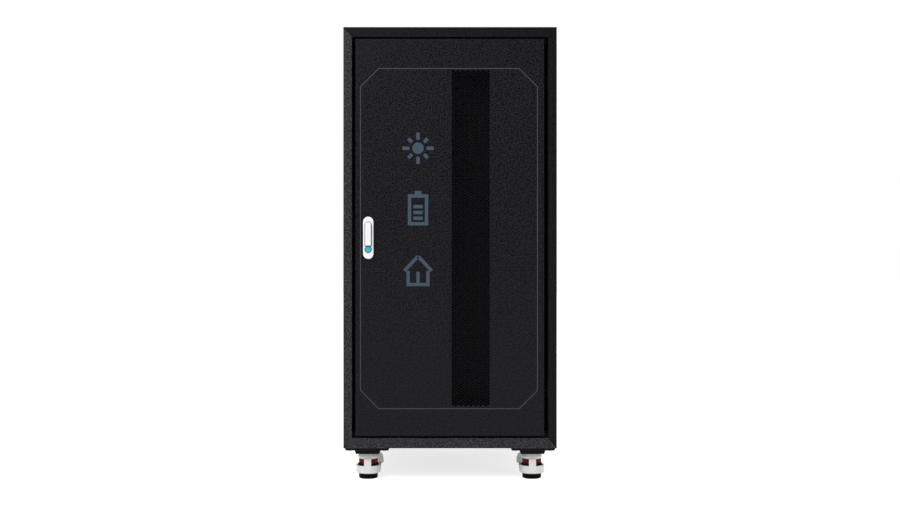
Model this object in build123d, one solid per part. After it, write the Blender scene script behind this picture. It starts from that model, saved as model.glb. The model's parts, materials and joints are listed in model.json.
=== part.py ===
from build123d import *
import math
import os

os.makedirs("parts", exist_ok=True)

# Battery cabinet on levelling casters. Millimetres, +Z up, front towards -Y.
# The origin is on the floor, under the middle of the whole object.

# ---- cabinet body ----
cabinet_width = 530.0
cabinet_depth = 600.0
cabinet_height = 1046.0      # sheet-metal body, without the casters
sheet = 1.5
bend_radius = 1.25           # at the middle of the sheet
side_border = 21.5           # front face beside the door
top_border = 25.0
bottom_border = 25.5
jamb_depth = 28.0
rear_border = 24.0
mitre_gap = 0.5
stop_lip = 14.0              # door stops above and below the door

# ---- door ----
hinge_side_gap = 9.5
latch_side_gap = 8.0
door_top_gap = 4.0
door_bottom_gap = 5.0
door_depth = 18.0
door_lip = 12.0
groove_width = 2.0
groove_depth = 0.4
groove_left = 12.0           # from the door's edge to the line round its face
groove_right = 16.0
groove_top = 73.0
groove_bottom = 67.0
groove_chamfer = 46.0
mesh_pitch = 28.0            # between neighbouring holes
mesh_web = 4.5               # metal between two holes
mesh_columns = 4
mesh_centre_x = 51.0
mesh_top_margin = 7.4        # from the line round the face to the first hole
mesh_bottom_margin = 9.0     # least distance from the last hole to the line
stiffener_width = 26.0
stiffener_depth = 12.0
stiffener_centres = (-70.0, 160.0)

# ---- hinges ----
hinge_inset = 8.0            # axis from the door's edge
hinge_setback = 8.0          # axis behind the door's face
hinge_end = 110.0            # hinge from the end of the door
arm_thickness = 4.0
arm_width = 7.0
arm_reach = 15.0             # the swan neck passes this far behind the axis
arm_lean = 6.5
hinge_foot_thickness = 2.5
hinge_foot_height = 34.0
pin_radius = 3.2
knuckle_radius = 6.0
knuckle_length = 23.0
running_gap = 0.1
turn_gap = 0.3               # between faces that turn or slide past each other
notch_gap = 3.0

# ---- door handle ----
handle_from_edge = 32.8      # handle centre from the door's edge
handle_base_width = 26.0
handle_base_height = 105.0
handle_base_thickness = 7.0
handle_base_bottom = 470.0   # from the underside of the body
lever_width = 14.0
lever_length = 58.0
lever_thickness = 8.0
lever_lift_gap = 0.5
lever_from_top = 13.5        # lever's top from the base's top
lever_pin_radius = 1.5
lever_eye_width = 6.0
lever_eye_radius = 2.7
spindle_radius = 5.0
spindle_shoulder = 8.0
button_radius = 7.2
button_proud = 2.5
button_seat = 3.0
button_travel = 3.0
button_below_lever = 9.5
tongue_thickness = 3.0
tongue_width = 16.0
tongue_overlap = 7.0
tongue_clearance = 1.0
strike_thickness = 2.0
strike_lip = 14.0
strike_height = 70.0

# ---- rack and battery modules ----
rack_setback = 120.0         # front face of the posts from the front of the cabinet
rack_opening = 450.0         # between the posts
rack_hole_spacing = 465.1
rack_unit = 44.45
post_depth = 35.0
post_sheet = 2.0
cage_hole = 9.5
module_count = 6
module_width = 442.0
rear_clearance = 58.5        # from the back of the modules to the rear panel
fascia_width = 482.6
fascia_thickness = 2.5
fascia_gap = 0.8             # between stacked front panels
case_clearance = 5.0
rail_sheet = 2.0
rail_shelf = 30.0
rail_upright = 32.0
rear_post_from_case = 15.0   # rear posts end this far before the back of the cases
module_handle_height = 90.0
module_handle_reach = 32.0
module_handle_bar = 8.0
module_handle_depth = 10.0
module_handle_spacing = 380.0
breaker_width = 27.0
breaker_height = 70.0
breaker_depth = 14.0
breaker_offset = 95.0        # to the left of the middle

# ---- busbars ----
busbar_spacing = 120.0
busbar_width = 40.0
busbar_thickness = 5.0
busbar_overrun = 24.0        # beyond the top and bottom modules
terminal_block = 12.0
terminal_width = 36.0
output_stud_radius = 5.0
output_stud_length = 25.0
output_stud_height = 26.0    # above the bottom of the lowest module
insulator_radius = 14.0
insulator_length = 20.0
crossbar_height = 30.0
crossbar_thickness = 3.0
earth_bar_length = 180.0
earth_bar_height = 20.0
earth_bar_thickness = 5.0
earth_foot = 16.0
earth_from_back = 130.0

# ---- rear panel and cable entry ----
rear_panel_margin = 2.0
vent_length = 104.0
vent_height = 6.0
vent_pitch = 15.0
vent_rows = 6
vent_columns = 3
vent_column_pitch = 128.0
vent_from_end = 92.0
gland_width = 260.0
gland_depth = 84.0
gland_from_back = 58.0       # middle of the cable entry from the back
gland_overlap = 12.0
gland_sheet = 2.0
grommet_count = 3
grommet_pitch = 80.0
grommet_radius = 25.0
grommet_lip = 4.0
grommet_flange = 3.0

# ---- casters ----
caster_height = 84.0         # floor to the underside of the body
caster_inset_x = 58.0
caster_inset_y = 66.0
foot_plate = 113.0
foot_plate_thickness = 7.5
foot_plate_taper = 26.0
top_plate = 67.0
top_plate_thickness = 12.5
top_plate_taper = 18.0
cap_top_radius = 22.5
cap_radius = 26.3
cap_foot_radius = 23.5
cap_height = 13.7
cap_rim = 5.5                # height of the cap's widest ring above its bottom
guard_radius = 31.0          # skirt round the foot
guard_bottom = 14.0
guard_height = 19.3
guard_rib_width = 17.6
guard_rib_end = 25.0
foot_radius = 23.8
foot_height = 14.6
foot_clearance = 1.7
foot_lift = 10.0
stem_radius = 6.0
stem_gap = 0.3
thumbwheel_radius = 24.0
thumbwheel_height = 11.0
thumbwheel_teeth = 10
thumbwheel_notch = 2.0
wheel_radius = 24.0
wheel_width = 21.0
wheel_dish = 3.0
wheel_trail = 50.0
wheel_lift = 3.0             # wheel above the floor while the feet carry
axle_radius = 4.0
wheel_side_gap = 1.0
cheek = 3.5
hood_gap = 1.6
hood_wall = 3.0
axle_boss = 8.0
kingpin_radius = 8.0
kingpin_length = 6.5
caster_turn = 15.0           # rest direction of the wheels

# ---- places that follow from the sizes ----
half_width = cabinet_width / 2
handle_proud = handle_base_thickness + lever_lift_gap + lever_thickness
front_y = -(cabinet_depth + handle_proud) / 2 + handle_proud
back_y = front_y + cabinet_depth
base_z = caster_height
top_z = base_z + cabinet_height
inner_back = back_y - sheet
opening_x = half_width - side_border
opening_low = base_z + bottom_border
opening_high = top_z - top_border

door_left = -opening_x + latch_side_gap
door_right = opening_x - hinge_side_gap
door_low = opening_low + door_bottom_gap
door_high = opening_high - door_top_gap

hinge_x = door_right - hinge_inset
hinge_y = front_y + hinge_setback
hinge_arm_low = (door_low + hinge_end, door_high - hinge_end)

handle_x = door_left + handle_from_edge
handle_low = base_z + handle_base_bottom
handle_high = handle_low + handle_base_height
handle_face = front_y - handle_base_thickness
lever_top = handle_high - lever_from_top
lever_back = handle_face - lever_lift_gap
lever_front = lever_back - lever_thickness
pin_y = (lever_back + lever_front) / 2
pin_z = lever_top - lever_thickness / 2
lever_bottom = lever_top - lever_length
button_z = lever_bottom - button_below_lever
strike_back = front_y + jamb_depth
tongue_front = strike_back + tongue_clearance

rack_y = front_y + rack_setback
half_units = math.floor(2 * (opening_high - opening_low) / (module_count * rack_unit))
module_pitch = half_units * rack_unit / 2    # the tallest stack, in half rack units, that fits
fascia_height = module_pitch - fascia_gap
stack_height = module_count * module_pitch
stack_low = (opening_low + opening_high - stack_height) / 2
post_outer = half_width - sheet
post_inner = rack_opening / 2
case_back = inner_back - rear_clearance
rear_post_y = case_back - rear_post_from_case
case_half = module_width / 2
busbar_y = case_back + terminal_block
busbar_low = stack_low - busbar_overrun
busbar_high = stack_low + stack_height + busbar_overrun
crossbar_y = busbar_y - insulator_length - crossbar_thickness

caster_x = half_width - caster_inset_x
caster_front = front_y + caster_inset_y
caster_back = back_y - caster_inset_y
plate_z = base_z - foot_plate_thickness - top_plate_thickness
cap_top = plate_z - turn_gap
cap_bottom = cap_top - cap_height
guard_top = guard_bottom + guard_height
guard_bore = foot_radius + foot_clearance
axle_z = wheel_lift + wheel_radius


def block(x0, x1, y0, y1, z0, z1):
    """A box between two corners."""
    middle = Pos((x0 + x1) / 2, (y0 + y1) / 2, (z0 + z1) / 2)
    return middle * Box(x1 - x0, y1 - y0, z1 - z0)


def upright(x, y, z0, z1, radius):
    """A cylinder along Z."""
    return Pos(x, y, (z0 + z1) / 2) * Cylinder(radius, z1 - z0)


def crosswise(x, y0, y1, z, radius):
    """A cylinder along Y."""
    return Pos(x, (y0 + y1) / 2, z) * Rot(90, 0, 0) * Cylinder(radius, y1 - y0)


def sideways(x0, x1, y, z, radius):
    """A cylinder along X."""
    return Pos((x0 + x1) / 2, y, z) * Rot(0, 90, 0) * Cylinder(radius, x1 - x0)


def folded_upright(points, z0, z1, thickness=sheet, radius=bend_radius):
    """Bent sheet: a plan section of (x, y) points on its middle line, run up in Z."""
    line = FilletPolyline(*points, radius=radius)
    return extrude(Plane.XY.offset(z0) * trace(line, line_width=thickness), z1 - z0)


def folded_across(points, x0, x1, thickness=sheet, radius=bend_radius):
    """Bent sheet: an end section of (y, z) points on its middle line, run along X."""
    line = FilletPolyline(*points, radius=radius)
    return extrude(Plane.YZ.offset(x0) * trace(line, line_width=thickness), x1 - x0)


def profile_block(points, y0, y1):
    """A prism on (x, z) corners between two depths."""
    face = make_face(Plane.XZ * Polyline(*points, close=True))
    return Pos(0, y0, 0) * extrude(face, y1 - y0, dir=(0, 1, 0))


def export(node, shape):
    export_step(shape, f"parts/{node}.step")


# ---- sheet-metal body ----
def side_panel(side):
    half = sheet / 2
    jamb_x = side * (opening_x + half)
    web_x = side * (half_width - half)
    points = [
        (jamb_x, front_y + jamb_depth),
        (jamb_x, front_y + half),
        (web_x, front_y + half),
        (web_x, inner_back - half),
        (side * (half_width - rear_border), inner_back - half),
    ]
    panel = folded_upright(points, base_z + sheet, top_z - sheet)
    far = front_y + jamb_depth + 1
    slope_x = side_border * (1 - sheet / top_border)
    low_slope_x = side_border * (1 - sheet / bottom_border)
    shift = mitre_gap / 2
    above = [
        (side * (opening_x - 1), opening_high),
        (side * (opening_x + shift), opening_high),
        (side * (opening_x + slope_x + shift), top_z - sheet),
        (side * (opening_x + slope_x + shift), top_z + 1),
        (side * (opening_x - 1), top_z + 1),
    ]
    below = [
        (side * (opening_x - 1), opening_low),
        (side * (opening_x + shift), opening_low),
        (side * (opening_x + low_slope_x + shift), base_z + sheet),
        (side * (opening_x + low_slope_x + shift), base_z - 1),
        (side * (opening_x - 1), base_z - 1),
    ]
    for corner in (above, below):
        panel -= profile_block(corner, front_y - 1, far)
    return panel


def lid(outer, border, inward):
    """The top or bottom of the body: outer is its outside level, inward points to the middle."""
    half = sheet / 2
    edge_z = outer + inward * (border - half)
    flat_z = outer + inward * half
    stop_y = front_y + jamb_depth - half
    points = [
        (stop_y, edge_z - inward * (half - stop_lip)),
        (stop_y, edge_z),
        (front_y + half, edge_z),
        (front_y + half, flat_z),
        (inner_back - half, flat_z),
        (inner_back - half, outer + inward * rear_border),
    ]
    panel = folded_across(points, -half_width, half_width)
    inner_edge = outer + inward * border
    slope = side_border * (1 - sheet / border)
    shift = mitre_gap / 2
    beyond = outer + inward * (border + stop_lip + 1)
    for side in (-1, 1):
        wedge = [
            (side * (opening_x - shift), beyond),
            (side * (opening_x - shift), inner_edge),
            (side * (opening_x + slope - shift), outer + inward * sheet),
            (side * (half_width + 1), outer + inward * sheet),
            (side * (half_width + 1), beyond),
        ]
        panel -= profile_block(wedge, front_y - 1, front_y + jamb_depth + 1)
        rear_x = sorted((side * (half_width - rear_border - 1), side * (half_width + 1)))
        rear_z = sorted((outer + inward * sheet, beyond))
        panel -= block(*rear_x, inner_back - 2 * bend_radius - sheet, inner_back + 1, *rear_z)
    return panel


def bottom_panel():
    panel = lid(base_z, bottom_border, 1)
    middle = back_y - gland_from_back
    half_w = gland_width / 2 - gland_overlap
    half_d = gland_depth / 2 - gland_overlap
    hole = block(-half_w, half_w, middle - half_d, middle + half_d, base_z - 1, base_z + 3)
    return panel - hole


def gland_plate():
    middle = back_y - gland_from_back
    low = base_z + sheet
    plate = block(-gland_width / 2, gland_width / 2, middle - gland_depth / 2,
                  middle + gland_depth / 2, low, low + gland_sheet)
    for k in range(grommet_count):
        x = (k - (grommet_count - 1) / 2) * grommet_pitch
        plate -= upright(x, middle, low - 1, low + gland_sheet + 1, grommet_radius)
    return plate


def grommets():
    """Blind rubber grommets, pierced when a cable is fitted."""
    middle = back_y - gland_from_back
    low = base_z + sheet
    neck = grommet_radius - turn_gap
    rim = grommet_radius + grommet_lip
    solids = []
    for k in range(grommet_count):
        x = (k - (grommet_count - 1) / 2) * grommet_pitch
        top = low + gland_sheet
        body = upright(x, middle, low - grommet_flange / 2, top, neck)
        solids.append(body + upright(x, middle, top, top + grommet_flange, rim))
    return Compound(solids)


def rear_panel():
    margin = rear_panel_margin
    panel = block(-half_width + margin, half_width - margin, inner_back, back_y,
                  base_z + margin, top_z - margin)
    slots = []
    for level in (base_z + vent_from_end, top_z - vent_from_end - (vent_rows - 1) * vent_pitch):
        for row in range(vent_rows):
            for column in range(vent_columns):
                x = (column - (vent_columns - 1) / 2) * vent_column_pitch
                z = level + row * vent_pitch
                slots.append(block(x - vent_length / 2, x + vent_length / 2, inner_back - 1,
                                   back_y + 1, z - vent_height / 2, z + vent_height / 2))
    return panel - slots


# ---- door ----
def line_corners(inset):
    """Corners of the chamfered line round the door's face, as (x, z), moved in by inset."""
    x0 = door_left + groove_left + inset
    x1 = door_right - groove_right - inset
    z0 = door_low + groove_bottom + inset
    z1 = door_high - groove_top - inset
    cut = groove_chamfer - inset * (2 - math.sqrt(2))
    return [(x0 + cut, z0), (x1 - cut, z0), (x1, z0 + cut), (x1, z1 - cut),
            (x1 - cut, z1), (x0 + cut, z1), (x0, z1 - cut), (x0, z0 + cut)]


def mesh_holes():
    """Hexagonal holes on a triangular grid with its rows of holes upright."""
    corner_radius = (mesh_pitch - mesh_web) / math.sqrt(3)
    column_pitch = mesh_pitch * math.sqrt(3) / 2
    line_height = door_high - groove_top - door_low - groove_bottom
    free = line_height - mesh_top_margin - mesh_bottom_margin - mesh_pitch / 2
    rows = math.floor(free / mesh_pitch)
    top = door_high - groove_top - mesh_top_margin - mesh_pitch / 2
    holes = []
    for column in range(mesh_columns):
        x = mesh_centre_x + (column - (mesh_columns - 1) / 2) * column_pitch
        for row in range(rows):
            z = top - row * mesh_pitch - (column % 2) * mesh_pitch / 2
            corners = []
            for k in range(6):
                angle = math.radians(60 * k)
                corners.append((x + corner_radius * math.cos(angle),
                                z + corner_radius * math.sin(angle)))
            holes.append(corners)
    return holes


def outline_wire(corners):
    return Wire.make_polygon([Vector(x, front_y + sheet, z) for x, z in corners], close=True)


def door_skin():
    """A pan with a perforated face, its edges turned back and then in."""
    outer = outline_wire([(door_left, door_low), (door_right, door_low),
                          (door_right, door_high), (door_left, door_high)])
    face = Face(outer, [outline_wire(corners) for corners in mesh_holes()])
    skin = extrude(face, sheet, dir=(0, -1, 0))
    skin -= crosswise(handle_x, front_y - 1, front_y + sheet + 1, pin_z, spindle_radius + turn_gap)
    groove_back = front_y + groove_depth
    ring = profile_block(line_corners(0), front_y - 1, groove_back)
    skin -= ring - profile_block(line_corners(groove_width), front_y - 1, groove_back)

    rear = front_y + door_depth
    rim = block(door_left, door_right, front_y + sheet, rear, door_low, door_high)
    rim -= block(door_left + sheet, door_right - sheet, front_y, rear - sheet,
                 door_low + sheet, door_high - sheet)
    rim -= block(door_left + door_lip, door_right - door_lip, rear - 2 * sheet, rear + 1,
                 door_low + door_lip, door_high - door_lip)
    pan = skin + rim
    for arm_low in hinge_arm_low:
        pan -= block(hinge_x - 2 * arm_width, door_right + 1, front_y + sheet + turn_gap, rear + 1,
                     arm_low - notch_gap, arm_low + arm_thickness + notch_gap)
    return pan


def door_stiffeners():
    """Hat sections welded behind the face, from lip to lip."""
    low = door_low + door_lip
    high = door_high - door_lip
    half = sheet / 2
    solids = []
    for x in stiffener_centres:
        top = stiffener_width / 2 - half
        flange = top + 10
        y_skin = front_y + sheet + half
        y_top = y_skin + stiffener_depth
        points = [(x - flange, y_skin), (x - top, y_skin), (x - top, y_top),
                  (x + top, y_top), (x + top, y_skin), (x + flange, y_skin)]
        solids.append(folded_upright(points, low, high))
    return Compound(solids)


# ---- hinges ----
def hinge_bracket(arm_low):
    """Swan-neck arm from the jamb round the door's edge, with an upright pin."""
    reach_x = opening_x - hinge_x
    path = Polyline((0, 0), (-arm_lean, arm_reach), (reach_x, arm_reach))
    plan = trace(path, line_width=arm_width) + Circle(knuckle_radius)
    plan += Pos(-arm_lean, arm_reach) * Circle(arm_width / 2)
    arm = extrude(Pos(hinge_x, hinge_y, arm_low) * plan, arm_thickness)
    middle = arm_low + arm_thickness / 2
    foot = block(opening_x - hinge_foot_thickness, opening_x, hinge_y + 1, front_y + jamb_depth,
                 middle - hinge_foot_height / 2, middle + hinge_foot_height / 2)
    arm_top = arm_low + arm_thickness
    arm -= block(opening_x, half_width, front_y, back_y, arm_low - 1, arm_top + 1)
    pin = upright(hinge_x, hinge_y, arm_low, arm_top + turn_gap + knuckle_length, pin_radius)
    return arm + foot + pin


def door_knuckle(arm_low):
    low = arm_low + arm_thickness + turn_gap
    high = low + knuckle_length
    half = knuckle_radius - 1
    body = upright(hinge_x, hinge_y, low, high, knuckle_radius)
    body += block(hinge_x - half, hinge_x + half, front_y + sheet, hinge_y, low, high)
    return body - upright(hinge_x, hinge_y, low - 1, high + 1, pin_radius + running_gap)


# ---- door handle, latch and strike ----
def handle_base():
    shape = Plane.XZ * Pos(handle_x, (handle_low + handle_high) / 2)
    outline = shape * SlotOverall(handle_base_height, handle_base_width, rotation=90)
    base = Pos(0, front_y, 0) * extrude(outline, handle_base_thickness)
    base = chamfer(base.faces().sort_by(Axis.Y)[0].outer_wire().edges(), handle_base_thickness / 4)
    base -= crosswise(handle_x, handle_face - 1, front_y + 1, pin_z, spindle_radius + turn_gap)
    pocket = handle_face + button_seat + button_travel + turn_gap
    base -= crosswise(handle_x, handle_face - 1, pocket, button_z, button_radius + turn_gap)
    return base


def lever():
    """Flat lever, round at the top, that swings out about its cross pin."""
    half = lever_width / 2
    shape = Plane.XZ * Pos(handle_x, lever_top - half) * Circle(half)
    shape += Plane.XZ * Pos(handle_x, (lever_top - half + lever_bottom) / 2) * Rectangle(
        lever_width, lever_top - half - lever_bottom)
    body = Pos(0, lever_back, 0) * extrude(shape, lever_thickness)
    nose = sideways(handle_x - half, handle_x + half, pin_y, pin_z, lever_thickness / 2)
    shank = block(handle_x - half, handle_x + half, lever_front, lever_back, lever_bottom, pin_z)
    body = body & (nose + shank)
    slot = lever_eye_width / 2 + turn_gap
    turning = lever_eye_radius + turn_gap
    body -= block(handle_x - slot, handle_x + slot, pin_y - turning, lever_back + 1,
                  pin_z - turning - 4, lever_top + 1)
    hole = lever_pin_radius + running_gap
    body -= sideways(handle_x - half, handle_x + half, pin_y, pin_z, hole)
    thumb = Pos(handle_x, lever_front - 9, lever_bottom + 12) * Rot(0, 90, 0) * Cylinder(10, lever_width - 4)
    return body - thumb


def spindle():
    """Spindle with an eye for the lever at the front and a shoulder for the tongue behind."""
    eye = lever_eye_width / 2
    body = crosswise(handle_x, lever_back, tongue_front + tongue_thickness + 3, pin_z, spindle_radius)
    eye_top = sideways(handle_x - eye, handle_x + eye, pin_y, pin_z, lever_eye_radius)
    neck = block(handle_x - eye, handle_x + eye, pin_y, lever_back + 1,
                 pin_z - lever_eye_radius, pin_z + lever_eye_radius)
    body += eye_top + neck
    body += crosswise(handle_x, tongue_front - 4, tongue_front, pin_z, spindle_shoulder)
    half = lever_width / 2
    return body + sideways(handle_x - half, handle_x + half, pin_y, pin_z, lever_pin_radius)


def tongue():
    reach = handle_x - (-opening_x + strike_lip) + tongue_overlap
    back = tongue_front + tongue_thickness
    half = tongue_width / 2
    body = block(handle_x - reach, handle_x, tongue_front, back, pin_z - half, pin_z + half)
    body += crosswise(handle_x, tongue_front, back, pin_z, half + 2)
    body -= crosswise(handle_x, tongue_front - 1, back + 1, pin_z, spindle_radius + turn_gap)
    return body


def strike():
    """Angle on the jamb, with the lip that the tongue goes behind."""
    low = pin_z - strike_height / 2
    high = pin_z + strike_height / 2
    leg = block(-opening_x, -opening_x + strike_thickness, front_y + 6, strike_back, low, high)
    return leg + block(-opening_x, -opening_x + strike_lip, strike_back - strike_thickness,
                       strike_back, low, high)


def lock_button():
    body = crosswise(handle_x, handle_face - button_proud, handle_face + button_seat, button_z,
                     button_radius)
    return chamfer(body.edges().sort_by(Axis.Y)[0], 1)


def bumpers():
    """Rubber pads on the stops, a little short of the closed door."""
    near = front_y + door_depth + turn_gap
    far = front_y + jamb_depth - sheet
    solids = []
    for x in (door_left + 40, door_right - 60):
        for z in (door_low + door_lip / 2, door_high - door_lip / 2):
            solids.append(block(x - 6, x + 6, near, far, z - 4, z + 4))
    return Compound(solids)


# ---- rack ----
def post(side, face, depth_sign):
    """Channel beside the modules; depth_sign says which way its legs run."""
    half = post_sheet / 2
    outer = side * (post_outer - half)
    inner = side * (post_inner + half)
    flange_y = face + depth_sign * half
    leg_y = face + depth_sign * post_depth
    points = [(outer, leg_y), (outer, flange_y), (inner, flange_y), (inner, leg_y)]
    return folded_upright(points, base_z + sheet, top_z - sheet, post_sheet, 2)


def ear_levels(k):
    """Heights of the fixing holes in the ears of module k."""
    low = stack_low + k * module_pitch
    return (low + rack_unit / 2, low + module_pitch - rack_unit / 2)


def front_post(side):
    """Square cage-nut holes behind the ears of the modules."""
    channel = post(side, rack_y, 1)
    x = side * rack_hole_spacing / 2
    half = cage_hole / 2
    holes = []
    for k in range(module_count):
        for z in ear_levels(k):
            holes.append(block(x - half, x + half, rack_y - 1, rack_y + post_sheet + 1,
                               z - half, z + half))
    return channel - holes


def shelf_rails(side):
    """One angle under each side of each module, on the inner legs of the posts."""
    solids = []
    for k in range(module_count):
        top = stack_low + k * module_pitch + case_clearance / 2
        x0, x1 = sorted((side * post_inner, side * (post_inner - rail_shelf)))
        u0, u1 = sorted((side * post_inner, side * (post_inner - rail_sheet)))
        y0 = rack_y + 1
        shelf = block(x0, x1, y0, rear_post_y, top - rail_sheet, top)
        solids.append(shelf + block(u0, u1, y0, rear_post_y, top - rail_sheet, top + rail_upright))
    return Compound(solids)


def battery_module(k):
    """Sealed case with a front panel whose ears lie on the posts."""
    low = stack_low + k * module_pitch
    case_low = low + case_clearance / 2
    case_high = low + module_pitch - case_clearance / 2 - rail_sheet
    case = block(-case_half, case_half, rack_y, case_back, case_low, case_high)
    case = fillet(case.edges().filter_by(Axis.Y), 3)
    fascia_low = low + fascia_gap / 2
    front = rack_y - fascia_thickness
    fascia = block(-fascia_width / 2, fascia_width / 2, front, rack_y, fascia_low,
                   fascia_low + fascia_height)
    slots = []
    for side in (-1, 1):
        for z in ear_levels(k):
            x = side * rack_hole_spacing / 2
            slots.append(block(x - 4.5, x + 4.5, front - 1, rack_y + 1, z - 3.2, z + 3.2))
    return case + (fascia - slots)


def module_handles():
    """Bow handles, two on each front panel."""
    solids = []
    front = rack_y - fascia_thickness
    half = module_handle_height / 2 - module_handle_bar / 2
    out = front - module_handle_reach + module_handle_bar / 2
    for k in range(module_count):
        z = stack_low + (k + 0.5) * module_pitch
        points = [(front, z - half), (out, z - half), (out, z + half), (front, z + half)]
        for side in (-1, 1):
            x = side * module_handle_spacing / 2
            x0 = x - module_handle_depth / 2
            bow = trace(Polyline(*points), line_width=module_handle_bar)
            bow = extrude(Plane.YZ.offset(x0) * bow, module_handle_depth)
            solids.append(chamfer(bow.edges().filter_by(Axis.X).group_by(Axis.Y)[0], 4))
    return Compound(solids)


def breakers():
    """A two-pole breaker on each front panel."""
    solids = []
    front = rack_y - fascia_thickness
    for k in range(module_count):
        z = stack_low + (k + 0.5) * module_pitch
        x0 = -breaker_offset - breaker_width / 2
        x1 = -breaker_offset + breaker_width / 2
        half = breaker_height / 2
        body = block(x0, x1, front - breaker_depth / 2, front, z - half, z + half)
        body += block(x0, x1, front - breaker_depth, front, z - half / 2, z + half / 2)
        body += block(x0 + 3, x1 - 3, front - breaker_depth - 8, front, z + 1, z + 7)
        solids.append(body)
    return Compound(solids)


# ---- busbars and earth ----
def terminal_z(k):
    return stack_low + (k + 0.5) * module_pitch


def terminals():
    """Insulated terminal blocks, two on the back of each module."""
    solids = []
    half = terminal_width / 2
    for k in range(module_count):
        z = terminal_z(k)
        for side in (-1, 1):
            x = side * busbar_spacing / 2
            body = block(x - half, x + half, case_back, busbar_y, z - half, z + half)
            solids.append(chamfer(body.edges().filter_by(Axis.Y), 4))
    return Compound(solids)


def busbar(side):
    """Flat copper bar up the back of the modules, with an output stud near its foot."""
    x = side * busbar_spacing / 2
    half = busbar_width / 2
    far = busbar_y + busbar_thickness
    bar = block(x - half, x + half, busbar_y, far, busbar_low, busbar_high)
    bar = chamfer(bar.edges().filter_by(Axis.Y), 4)
    return bar + crosswise(x, far, far + output_stud_length, stack_low + output_stud_height,
                           output_stud_radius)


def crossbar_levels():
    middle = busbar_overrun / 2 + 1
    return (stack_low - middle, stack_low + stack_height + middle)


def crossbars():
    """Flats between the rear posts that carry the busbars."""
    solids = []
    for z in crossbar_levels():
        half = crossbar_height / 2
        solids.append(block(-post_inner, post_inner, crossbar_y, crossbar_y + crossbar_thickness,
                            z - half, z + half))
    return Compound(solids)


def insulators():
    """Hexagonal stand-off insulators between the crossbars and the busbars."""
    solids = []
    waist = insulator_length * 0.3
    for z in crossbar_levels():
        for side in (-1, 1):
            place = Pos(side * busbar_spacing / 2, busbar_y, z)
            body = place * extrude(Plane.XZ * RegularPolygon(insulator_radius - 3, 6),
                                   insulator_length)
            for setback in (0, insulator_length - waist):
                end = place * Pos(0, -setback, 0)
                body += end * extrude(Plane.XZ * RegularPolygon(insulator_radius, 6), waist)
            solids.append(body)
    return Compound(solids)


def earth_bar():
    """Earth bar on two feet on the floor of the body, with three clamping holes."""
    low = base_z + sheet
    y0 = back_y - earth_from_back - earth_bar_thickness
    half = earth_bar_length / 2
    x = -opening_x + half + 25
    bar = block(x - half, x + half, y0, y0 + earth_bar_thickness, low + earth_foot,
                low + earth_foot + earth_bar_height)
    for k in range(3):
        hole_x = x + (k - 1) * 45
        z = low + earth_foot + earth_bar_height / 2
        bar -= crosswise(hole_x, y0 - 1, y0 + earth_bar_thickness + 1, z, 3.3)
    for side in (-1, 1):
        foot_x = x + side * (half - 8)
        bar += block(foot_x - 8, foot_x + 8, y0, y0 + earth_bar_thickness, low, low + earth_foot)
        bar += block(foot_x - 8, foot_x + 8, y0, y0 + 22, low, low + 3)
    return bar


# ---- casters, made about the swivel axis with the wheel towards +Y ----
def caster_foot_plate():
    plate = extrude(Rectangle(foot_plate, foot_plate), foot_plate_thickness, taper=foot_plate_taper)
    return Pos(0, 0, base_z) * Rot(180, 0, 0) * plate


def caster_top_plate():
    plate = extrude(Rectangle(top_plate, top_plate), top_plate_thickness, taper=top_plate_taper)
    plate = Pos(0, 0, base_z - foot_plate_thickness) * Rot(180, 0, 0) * plate
    return plate - upright(0, 0, plate_z - 1, plate_z + kingpin_length + 0.5,
                           kingpin_radius + turn_gap)


def caster_housing(rib_turn):
    """Cap, skirt, rib and wheel hood in one casting, with the wheel's axle."""
    cap = Polyline((0, cap_bottom), (cap_foot_radius, cap_bottom),
                   (cap_radius, cap_bottom + cap_rim), (cap_top_radius, cap_top), (kingpin_radius, cap_top),
                   (kingpin_radius, plate_z + kingpin_length - turn_gap),
                   (0, plate_z + kingpin_length - turn_gap), close=True)
    body = revolve(make_face(Plane.XZ * cap), Axis.Z)

    half_cavity = wheel_width / 2 + wheel_side_gap
    cavity_radius = wheel_radius + hood_gap
    hood_radius = cavity_radius + hood_wall
    half_hood = half_cavity + cheek
    hood = sideways(-half_hood, half_hood, wheel_trail, axle_z, hood_radius)
    hood -= block(-half_hood - 1, half_hood + 1, wheel_trail - hood_radius,
                  wheel_trail + hood_radius, axle_z - hood_radius, axle_z)
    hood += sideways(-half_hood, half_hood, wheel_trail, axle_z, axle_boss)
    bridge = block(-half_hood, half_hood, guard_bore - 6, wheel_trail, axle_z, cap_top - 2)
    body += hood + bridge

    skirt = upright(0, 0, guard_bottom, guard_top, guard_radius)
    skirt = chamfer(skirt.edges().sort_by(Axis.Z)[0], 2)
    body += skirt
    rib = block(-guard_rib_width / 2, guard_rib_width / 2, -guard_radius - 0.6, 0,
                guard_rib_end, cap_bottom + 1)
    body += Rot(0, 0, rib_turn) * rib

    body -= upright(0, 0, 0, cap_bottom, guard_bore)
    body -= sideways(-half_cavity, half_cavity, wheel_trail, axle_z, cavity_radius)
    body -= block(-half_cavity, half_cavity, wheel_trail - cavity_radius,
                  wheel_trail + cavity_radius, 0, axle_z)
    body -= upright(0, 0, cap_bottom - 1, cap_top - 0.5, stem_radius + stem_gap)
    return body + sideways(-half_hood, half_hood, wheel_trail, axle_z, axle_radius)


def caster_wheel():
    """Solid wheel, dished on both sides."""
    half = wheel_width / 2
    bore = axle_radius + running_gap
    rim = wheel_radius * 0.75
    section = Polyline((wheel_dish - half, bore), (-half, rim), (-half, wheel_radius),
                       (half, wheel_radius), (half, rim), (half - wheel_dish, bore), close=True)
    wheel = revolve(make_face(section), Axis.X)
    return Pos(0, wheel_trail, axle_z) * wheel


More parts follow.
